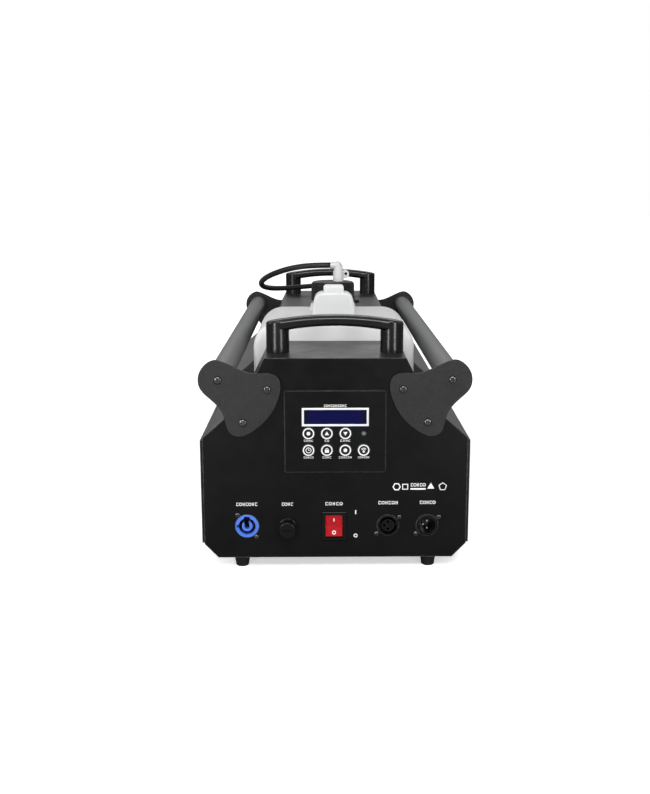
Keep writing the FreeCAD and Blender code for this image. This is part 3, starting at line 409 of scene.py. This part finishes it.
def inlet_nylon():
    """Blue nylon, with painted shade that deepens down inside the socket."""
    look = Look("inlet_blue")
    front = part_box("power_inlet")[0].y
    depth = look.maths("SUBTRACT", look.axis("Y"), front + 0.0015)
    shade = look.blend(look.noise(35.0, 3.0), linear(56, 94, 182), linear(70, 108, 196))
    # Painted shade: the blue goes to deep navy over the first 8 mm into the socket, for the shade down in
    # its wells.
    look.colour(look.blend(look.spread(depth, 0.0, 0.008, 0.0, 1.0), shade, linear(10, 18, 70)))
    look.cloudy_roughness(90.0, 3.0, 0.3, 0.4)
    look.bump((look.noise(2600.0, 2.0), 0.000015))
    return look.material


def circuit_board():
    """Green board with raised tracks."""
    look = Look("board_green")
    tracks = look.cells(420.0)
    between = look.spread(tracks, 0.25, 0.3, 0.0, 1.0)
    look.colour(look.blend(between, linear(20, 92, 58), linear(14, 66, 44)))
    look.cloudy_roughness(200.0, 2.0, 0.3, 0.45)
    look.bump((between, 0.00003))
    return look.material


def moulded_tank():
    """Blow-moulded polyethylene: milky, softly lit from within, with a faint orange-peel skin."""
    look = Look("tank_white", IOR=1.3, Subsurface_Weight=0.35,
                Subsurface_Radius=(0.012, 0.012, 0.011))
    look.shader.inputs["Subsurface Scale"].default_value = 0.6
    look.cloudy_colour(9.0, 3.0, (196, 197, 198), (207, 207, 206))
    look.cloudy_roughness(70.0, 3.0, 0.46, 0.58)
    look.bump((look.noise(260.0, 2.0), 0.00009), (look.noise(1400.0, 2.0), 0.00002))
    return look.material


def cap_plastic():
    """The tank cap's matt, slightly mottled black."""
    look = Look("cap_black", IOR=1.32)
    look.cloudy_colour(60.0, 3.0, (11, 11, 12), (18, 18, 19))
    look.cloudy_roughness(150.0, 3.0, 0.42, 0.55)
    look.bump((look.noise(1700.0, 2.0), 0.00002))
    return look.material


def glass_fibre():
    """The woven lagging round the heater."""
    look = Look("lagging", Roughness=0.95, Sheen_Weight=0.4)
    weave = look.noise(500.0, 6.0, look.stretched((1.0, 1.0, 7.0)))
    look.colour(look.blend(weave, linear(196, 188, 170), linear(232, 226, 210)))
    look.bump((weave, 0.0006), (look.cells(900.0), 0.0002))
    return look.material


def soft_rubber(name, dark, light, stretch=(1.0, 1.0, 1.0)):
    """Matt rubber with a little dust on it."""
    look = Look(name, IOR=1.4)
    dust = look.spread(look.noise(45.0, 5.0), 0.5, 0.8, 0.0, 1.0)
    look.colour(look.blend(dust, linear(*dark), linear(*light)))
    look.cloudy_roughness(140.0, 3.0, 0.45, 0.62)
    look.bump((look.noise(1200.0, 3.0, look.stretched(stretch)), 0.00003))
    return look.material


def clear_plastic(name, tint, rough):
    """Clear tube or glass with a faint cloud in it."""
    look = Look(name, Transmission_Weight=0.7, IOR=1.45)
    look.cloudy_colour(50.0, 2.0, tint, [level - 14 for level in tint])
    look.cloudy_roughness(90.0, 2.0, rough, rough + 0.08)
    return look.material


def printed_ink():
    """Screen-printed white."""
    look = Look("printed_white")
    look.cloudy_colour(1500.0, 3.0, (214, 214, 214), (228, 228, 227))
    look.cloudy_roughness(800.0, 2.0, 0.5, 0.65)
    look.bump((look.noise(4000.0, 2.0), 0.000008))
    return look.material


def lamp_lens():
    """The unlit status lamp's milky lens."""
    look = Look("lamp_lens", Roughness=0.2, Coat_Weight=0.6, Subsurface_Weight=0.3)
    look.cloudy_colour(900.0, 2.0, (88, 88, 88), (110, 109, 108))
    return look.material


def make_looks():
    """One material for each of the record's slots."""
    return {
        "panel_black": coated_metal("panel_black", (8, 8, 8), (11, 11, 11), 0.34, edge_rub_and_sheen=90,
                                    ior=1.22),
        "hood_black": coated_metal("hood_black", (18, 18, 18), (21, 21, 21), 0.38, edge_rub_and_sheen=50,
                                   uneven=0.03, ior=1.4),
        # The side covers have the panel's powder coat; their paler base tone is painted light, for sides the
        # lamps barely reach.
        "cover_black": coated_metal("cover_black", (15, 15, 15), (19, 19, 19), 0.38, edge_rub_and_sheen=0,
                                    ior=1.36),
        "bracket_black": coated_metal("bracket_black", (26, 26, 26), (32, 32, 32), 0.48, 1400.0,
                                      0.00005, edge_rub_and_sheen=20, speckle=0.6),
        "tube_black": coated_metal("tube_black", (82, 83, 84), (85, 86, 87), 0.42, 2600.0,
                                   0.000004, edge_rub_and_sheen=0, uneven=0.01, ior=1.45),
        "handle_black": moulded_plastic("handle_black", (10, 10, 11), (14, 14, 15), 0.24, 3000.0,
                                        0.0000005, uneven=0.015, IOR=1.4),
        "screw_black": black_oxide(),
        "black_plastic": moulded_plastic("black_plastic", (5, 5, 5), (8, 8, 8), 0.15, IOR=1.32),
        "key_black": moulded_plastic("key_black", (14, 14, 15), (19, 19, 20), 0.38, IOR=1.3),
        "frame_silver": moulded_plastic("frame_silver", (196, 196, 204), (214, 214, 220), 0.35,
                                        Metallic=0.1),
        "lcd_glass": display_glass(),
        "board_green": circuit_board(),
        "inlet_blue": inlet_nylon(),
        "rocker_red": moulded_plastic("rocker_red", (136, 6, 14), (152, 10, 20), 0.28, IOR=1.35),
        "pin_metal": worked_metal("pin_metal", (196, 194, 188), (230, 228, 222), 0.2),
        "fuse_glass": clear_plastic("fuse_glass", (236, 236, 232), 0.05),
        "aluminium": worked_metal("aluminium", (170, 171, 173), (205, 206, 208), 0.38),
        "lagging": glass_fibre(),
        "brass": worked_metal("brass", (178, 142, 76), (212, 178, 108), 0.28, (1.0, 12.0, 1.0)),
        "pump_case": worked_metal("pump_case", (128, 132, 138), (164, 168, 172), 0.4),
        "tank_white": moulded_tank(),
        "cap_black": cap_plastic(),
        "coupling_white": moulded_plastic("coupling_white", (178, 178, 178), (190, 190, 189), 0.36),
        "clear_tube": clear_plastic("clear_tube", (236, 238, 238), 0.12),
        "hose_black": soft_rubber("hose_black", (10, 10, 11), (18, 18, 19), (1.0, 0.2, 1.0)),
        "rubber_black": soft_rubber("rubber_black", (10, 10, 11), (16, 16, 17)),
    }


# ---------------------------------------------------------------- printed marks

INK = 0.12 * MM            # how far a mark stands out of its surface
SUNK = 0.03 * MM           # and how far its back is sunk in


class Marks:
    """Thin closed plates on a surface that faces -Y, drawn in millimetres of X and Z."""

    def __init__(self, surface):
        self.surface = surface
        self.verts = []
        self.faces = []

    def _place(self, x, z, raised):
        y = self.surface(x * MM, z * MM)
        self.verts.append((x * MM, y - INK if raised else y + SUNK, z * MM))
        return len(self.verts) - 1

    def plate(self, outline):
        """A plate with this outline, given anticlockwise as seen from -Y."""
        front = [self._place(x, z, True) for x, z in outline]
        back = [self._place(x, z, False) for x, z in outline]
        count = len(outline)
        self.faces.append(tuple(front))
        self.faces.append(tuple(reversed(back)))
        for k in range(count):
            after = (k + 1) % count
            self.faces.append((front[after], front[k], back[k], back[after]))

    def bar(self, x, z, width, height):
        self.plate([(x + a * width / 2, z + b * height / 2) for a, b in CORNERS])

    def shape(self, x, z, radius, sides, turn_deg=0.0):
        """A filled regular shape: 3 sides for a triangle, many for a dot."""
        turns = [math.radians(turn_deg) + math.tau * k / sides for k in range(sides)]
        self.plate([(x + radius * math.cos(t), z + radius * math.sin(t)) for t in turns])

    def ring(self, x, z, outer, inner, start_deg=0.0, end_deg=360.0, steps=48):
        """A ring, or an arc of one. A closed ring of few steps is a shape of that many sides."""
        closed = end_deg - start_deg >= 360.0
        section = ((outer, True), (inner, True), (inner, False), (outer, False))
        loops = []
        for k in range(steps if closed else steps + 1):
            turn = math.radians(start_deg + (end_deg - start_deg) * k / steps)
            c, s = math.cos(turn), math.sin(turn)
            loops.append([self._place(x + r * c, z + r * s, raised) for r, raised in section])
        followers = loops[1:] + loops[:1] if closed else loops[1:]
        for here, after in zip(loops, followers):
            for k in range(4):
                m = (k + 1) % 4
                self.faces.append((here[k], after[k], after[m], here[m]))
        if not closed:
            self.faces.append(tuple(loops[0]))
            self.faces.append(tuple(reversed(loops[-1])))

    def glyph_row(self, x, z, width, height, count, weight=0.18):
        """A generic row of small solid and hollow signs where a caption stands."""
        pitch = width / count
        across = pitch * 0.72
        stroke = height * weight
        for k in range(count):
            u = x - width / 2 + pitch * (k + 0.5)
            if k % 3 == 0:
                self.bar(u - across * 0.36, z, across * weight * 1.17, height)
                self.bar(u + across * 0.14, z + height / 2 - stroke / 2, across * 0.72, stroke)
                self.bar(u + across * 0.14, z - height / 2 + stroke / 2, across * 0.72, stroke)
            elif k % 3 == 1:
                self.ring(u, z, height / 2, height / 2 - stroke, steps=16)
            else:
                self.bar(u - across * 0.30, z, across * weight * 1.25, height)
                self.bar(u + across * 0.30, z, across * weight * 1.25, height)
                self.bar(u, z, across * 0.36, stroke)

    def piece(self, name, body, material):
        made = new_piece(name, self.verts, self.faces, material)
        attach(made, body)


def flat_front(node):
    """The plane of a node's front."""
    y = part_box(node)[0].y
    return lambda x, z: y


def draped_front(node):
    """The front of a node wherever it is, found by a ray along +Y."""
    mesh = nodes[node].data
    tree = BVHTree.FromPolygons([v.co for v in mesh.vertices], [p.vertices for p in mesh.polygons])
    return lambda x, z: tree.ray_cast(Vector((x, -1.0, z)), Vector((0.0, 1.0, 0.0)))[0].y


def middle_mm(node):
    """The middle of a node in X and Z, in millimetres."""
    low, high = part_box(node)
    return (low.x + high.x) / 2 / MM, (low.z + high.z) / 2 / MM


def dot_sign(marks, x, z):
    marks.shape(x, z, 1.9, 24)


def up_sign(marks, x, z):
    marks.shape(x, z - 0.35, 2.5, 3, 90.0)


def down_sign(marks, x, z):
    marks.shape(x, z + 0.35, 2.5, 3, -90.0)


def clock_sign(marks, x, z):
    marks.ring(x, z, 3.0, 2.35)
    marks.bar(x, z + 0.8, 0.55, 1.7)
    marks.bar(x + 0.7, z - 0.05, 1.4, 0.55)


def padlock_sign(marks, x, z):
    marks.bar(x, z - 1.1, 4.2, 2.9)
    marks.ring(x, z + 0.4, 1.75, 1.1, 0.0, 180.0, 20)


def wave_sign(marks, x, z):
    marks.shape(x, z - 1.5, 1.15, 20)
    marks.bar(x, z - 0.9, 0.9, 1.6)
    marks.ring(x, z - 1.5, 2.9, 2.35, 40.0, 140.0, 14)
    marks.ring(x, z - 1.5, 4.0, 3.5, 50.0, 130.0, 14)


# Each key's sign, and the width and number of signs in its caption.
KEY_SIGNS = {
    "menu_key": (dot_sign, 10.0, 4),
    "up_key": (up_sign, 5.0, 2),
    "down_key": (down_sign, 11.0, 4),
    "timer_key": (clock_sign, 10.5, 5),
    "lock_key": (padlock_sign, 9.8, 4),
    "manual_key": (dot_sign, 14.0, 6),
    "remote_key": (wave_sign, 12.4, 6),
}
KEY_CAPTION_DROP = 7.9
KEY_CAPTION_HEIGHT = 2.1
KEY_CAPTION_WEIGHT = 0.16
KEY_RING = (5.85, 4.75)    # outer and inner radius
DISPLAY_CAPTION_RISE = 11.9


def add_key_marks(ink):
    """A ring and a sign on each key, the keys' captions, and the display's heading."""
    captions = Marks(flat_front("control_bezel"))
    for key, (sign, width, count) in KEY_SIGNS.items():
        x, z = middle_mm(key)
        body = body_of(nodes[key])[0]
        marks = Marks(flat_front(key))
        marks.ring(x, z, *KEY_RING)
        sign(marks, x, z)
        marks.piece(key + "_sign", body, ink)
        captions.glyph_row(x, z - KEY_CAPTION_DROP, width, KEY_CAPTION_HEIGHT, count,
                           KEY_CAPTION_WEIGHT)
    x, z = middle_mm("display_frame")
    captions.glyph_row(x, z + DISPLAY_CAPTION_RISE, width=24.0, height=2.6, count=10)
    captions.piece("control_captions", "body", ink)


CAPTION_HEIGHT = 3.5
# Over each fitting: the caption's rise, its width and its number of signs.
CAPTIONS = {
    "power_inlet": (24.0, 23.0, 7),
    "fuse_cap": (24.6, 12.6, 4),
    "switch_body": (24.4, 19.0, 5),
    "data_out_socket": (24.8, 21.5, 6),
    "data_in_shell": (25.2, 17.0, 5),
}
ON_SIGN_AT = (21.5, 64.3)
OFF_SIGN_AT = (21.5, 38.4)
SHAPES_Z = 92.0
HEXAGON_X = 64.5
SQUARE_X = 73.5
LINE_X = 87.0
LINE_WIDTH = 16.0
TRIANGLE_X = 100.5
PENTAGON_X = 113.0


def add_panel_marks(ink):
    """Captions over the fittings, the on and off signs, and plain shapes over the data sockets."""
    marks = Marks(flat_front("rear_panel"))
    for node, (rise, width, count) in CAPTIONS.items():
        x, z = middle_mm(node)
        marks.glyph_row(x, z + rise, width, CAPTION_HEIGHT, count)
    marks.bar(*ON_SIGN_AT, 1.1, 4.2)
    marks.ring(*OFF_SIGN_AT, 2.1, 1.2, steps=32)
    marks.ring(HEXAGON_X, SHAPES_Z, 4.4, 3.2, steps=6)
    marks.ring(SQUARE_X, SHAPES_Z, 4.4, 3.2, 45.0, 405.0, 4)
    marks.glyph_row(LINE_X, SHAPES_Z + 2.0, LINE_WIDTH, 3.6, 5)
    marks.bar(LINE_X, SHAPES_Z - 2.4, LINE_WIDTH, 1.6)
    marks.shape(TRIANGLE_X, SHAPES_Z, 4.3, 3, 90.0)
    marks.ring(PENTAGON_X, SHAPES_Z, 4.6, 3.7, 18.0, 378.0, 5)
    marks.piece("panel_captions", "body", ink)


ROCKER_LINE_RISE = 7.1
ROCKER_CIRCLE_DROP = 6.3


def add_rocker_marks(ink):
    """The line and the circle on the rocker, one on each end."""
    x, z = middle_mm("switch_body")
    marks = Marks(draped_front("switch_rocker"))
    marks.bar(x, z + ROCKER_LINE_RISE, 0.9, 3.4)
    marks.ring(x, z - ROCKER_CIRCLE_DROP, 2.0, 1.25, steps=32)
    marks.piece("rocker_signs", "switch_rocker", ink)


LAMP_X = 29.5 * MM
LAMP_Z = 150.3 * MM
LAMP_RADIUS = 1.7 * MM
LAMP_RISE = 0.9 * MM


def add_lamp(material):
    """The status lamp's domed lens on the control module."""
    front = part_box("control_bezel")[0].y
    sides, levels = 28, 6
    verts = []
    for level in range(levels):
        tilt = math.pi / 2 * level / levels
        y = front - LAMP_RISE * math.sin(tilt)
        out = LAMP_RADIUS * math.cos(tilt)
        for k in range(sides):
            turn = math.tau * k / sides
            verts.append((LAMP_X + out * math.cos(turn), y, LAMP_Z + out * math.sin(turn)))
    verts.append((LAMP_X, front - LAMP_RISE, LAMP_Z))
    faces = wall_faces(levels, sides)
    last = (levels - 1) * sides
    faces.extend((last + k, last + (k + 1) % sides, len(verts) - 1) for k in range(sides))
    faces.append(tuple(reversed(range(sides))))
    lens = new_piece("status_lamp_lens", verts, faces, material, smooth=True)
    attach(lens, "body")


# ---------------------------------------------------------------- CAD nodes

# The bevel on each node's sharp edges, in millimetres.
SOFT_EDGES = {
    "rear_panel": 0.8, "front_panel": 0.8, "rear_hood": 0.8, "front_hood": 0.8,
    "base_tray": 0.8, "right_side_cover": 0.8, "left_side_cover": 0.8,
    "bracket_rear_right": 0.6, "bracket_rear_left": 0.6,
    "bracket_front_right": 0.6, "bracket_front_left": 0.6,
    "control_bezel": 0.35, "display_frame": 0.3, "rubber_feet": 0.4, "switch_body": 0.4,
    "power_inlet": 0.3, "data_out_socket": 0.25, "data_in_shell": 0.25, "cap_ring": 0.3,
    "coupling_socket": 0.3, "coupling_elbow": 0.4, "bracket_screws": 0.15,
    "connector_screws": 0.12, "case_screws": 0.15, "fuse_cap": 0.25, "switch_rocker": 0.3,
    "nozzle": 0.4, "hose_gland": 0.4,
}
WELD = 0.01 * MM     # points nearer than this are one
FLAT_DEG = 1.0       # faces that turn less than this are one
SHARP_DEG = 25.0     # edges that turn more than this get the bevel


def soften_edges(node, width):
    """Rounds a CAD node's sharp edges with a narrow bevel, which leaves its own mesh as it is."""
    piece = nodes[node]
    weld = piece.modifiers.new("weld", "WELD")
    weld.merge_threshold = WELD
    flatten = piece.modifiers.new("flatten", "DECIMATE")
    flatten.decimate_type = "DISSOLVE"
    flatten.angle_limit = math.radians(FLAT_DEG)
    bevel = piece.modifiers.new("bevel", "BEVEL")
    bevel.width = width
    bevel.segments = 2
    bevel.limit_method = "ANGLE"
    bevel.angle_limit = math.radians(SHARP_DEG)
    normals = piece.modifiers.new("normals", "WEIGHTED_NORMAL")
    normals.keep_sharp = True


def dress_nodes(looks):
    """Gives every CAD node the look of its slot, and softens the edges that show."""
    for part in frame["record"]["subparts"]:
        piece = nodes[part["node"]]
        piece.data.materials.clear()
        piece.data.materials.append(looks[part["material_slot"]])
    for node, width in SOFT_EDGES.items():
        soften_edges(node, width * MM)


# ---------------------------------------------------------------- floor, light and world

FLOOR_REACH = 12.0


def add_floor():
    """A floor that is white to the camera and mid grey to the object's surfaces."""
    look = Look("floor", Roughness=0.9)
    seen = look.node("ShaderNodeLightPath").outputs["Is Camera Ray"]
    white = look.blend(look.noise(3.0, 2.0), (0.90, 0.90, 0.90, 1.0),
                       (0.93, 0.93, 0.93, 1.0))
    look.colour(look.blend(seen, (0.30, 0.30, 0.30, 1.0), white))
    look.shader.inputs["Emission Color"].default_value = (1.0, 1.0, 1.0, 1.0)
    away = look.node("ShaderNodeVectorMath", {0: look.place}, operation="LENGTH").outputs["Value"]
    glow = look.spread(away, 0.45, 1.4, 0.50, 1.0)
    look.link(look.maths("MULTIPLY", glow, seen), "Emission Strength")
    corners = [(a * FLOOR_REACH, b * FLOOR_REACH, 0.0) for a, b in CORNERS]
    new_piece("floor", corners, [(0, 1, 2, 3)], look.material)


def add_area_light(name, place, target, size, power):
    """A softbox that lights the object and shows in its shine, but isn't itself in the picture."""
    data = bpy.data.lights.new(name, "AREA")
    data.shape = "RECTANGLE"
    data.size, data.size_y = size
    data.energy = power
    light = new_object(name, data)
    light.location = place
    light.rotation_euler = (Vector(target) - Vector(place)).to_track_quat("-Z", "Y").to_euler()
    light.visible_camera = False


def add_world():
    """White to the camera. To the object's surfaces, dim, but bright low down on the +Y side."""
    world = bpy.data.worlds.new("studio")
    bpy.context.scene.world = world
    world.use_nodes = True
    tree = world.node_tree
    tree.nodes.clear()

    def add(kind, links, **values):
        made = tree.nodes.new(kind)
        for name, value in values.items():
            made.inputs[name.replace("_", " ")].default_value = value
        for name, output in links.items():
            tree.links.new(output, made.inputs[name])
        return made

    way = add("ShaderNodeTexCoord", {})
    split = add("ShaderNodeSeparateXYZ", {"Vector": way.outputs["Generated"]})
    level = add("ShaderNodeMapRange", {"Value": split.outputs["Z"]},
                From_Min=0.04, From_Max=0.16, To_Min=1.0, To_Max=0.26)
    ahead = add("ShaderNodeMapRange", {"Value": split.outputs["Y"],
                                       "To Max": level.outputs["Result"]},
                From_Min=-0.2, From_Max=0.6, To_Min=0.15)
    path = add("ShaderNodeLightPath", {})
    chosen = add("ShaderNodeMix", {"Factor": path.outputs["Is Camera Ray"],
                                   "A": ahead.outputs["Result"]}, B=1.0)
    sky = add("ShaderNodeBackground", {"Strength": chosen.outputs["Result"]},
              Color=(1.0, 1.0, 1.0, 1.0))
    add("ShaderNodeOutputWorld", {"Surface": sky.outputs["Background"]})


# Each light's name, place, target, width and height, all in metres, and its power in watts.
LIGHTS = (
    ("top_softbox", (0.0, -0.2, 1.5), (0.0, -0.1, 0.1), (1.6, 1.4), 4.5),
    ("front_fill", (0.0, -1.9, 1.4), (0.0, -0.2, 0.2), (1.4, 0.6), 35.0),
    ("back_fill", (0.0, 1.9, 1.3), (0.0, 0.3, 0.1), (1.4, 0.6), 5.0),
    ("left_softbox", (-1.3, -0.6, 0.8), (0.0, -0.2, 0.15), (0.9, 0.9), 9.0),
    ("left_strip", (-0.46, -1.2, 0.22), (0.0, -0.33, 0.22), (0.14, 0.36), 3.4),
    ("right_softbox", (1.3, -0.6, 0.8), (0.0, -0.2, 0.15), (0.9, 0.9), 4.0),
    ("right_strip", (0.46, -1.2, 0.22), (0.0, -0.33, 0.22), (0.14, 0.36), 3.4),
)


def add_studio():
    """The world, the floor and the lights, with colours shown as they are."""
    add_world()
    add_floor()
    for light in LIGHTS:
        add_area_light(*light)
    bpy.context.scene.view_settings.view_transform = "Standard"


# ---------------------------------------------------------------- the whole scene

add_camera()
looks = make_looks()
add_feed_hose(looks["hose_black"])
dress_nodes(looks)
white_ink = printed_ink()
add_key_marks(white_ink)
add_panel_marks(white_ink)
add_rocker_marks(white_ink)
add_lamp(lamp_lens())
add_studio()
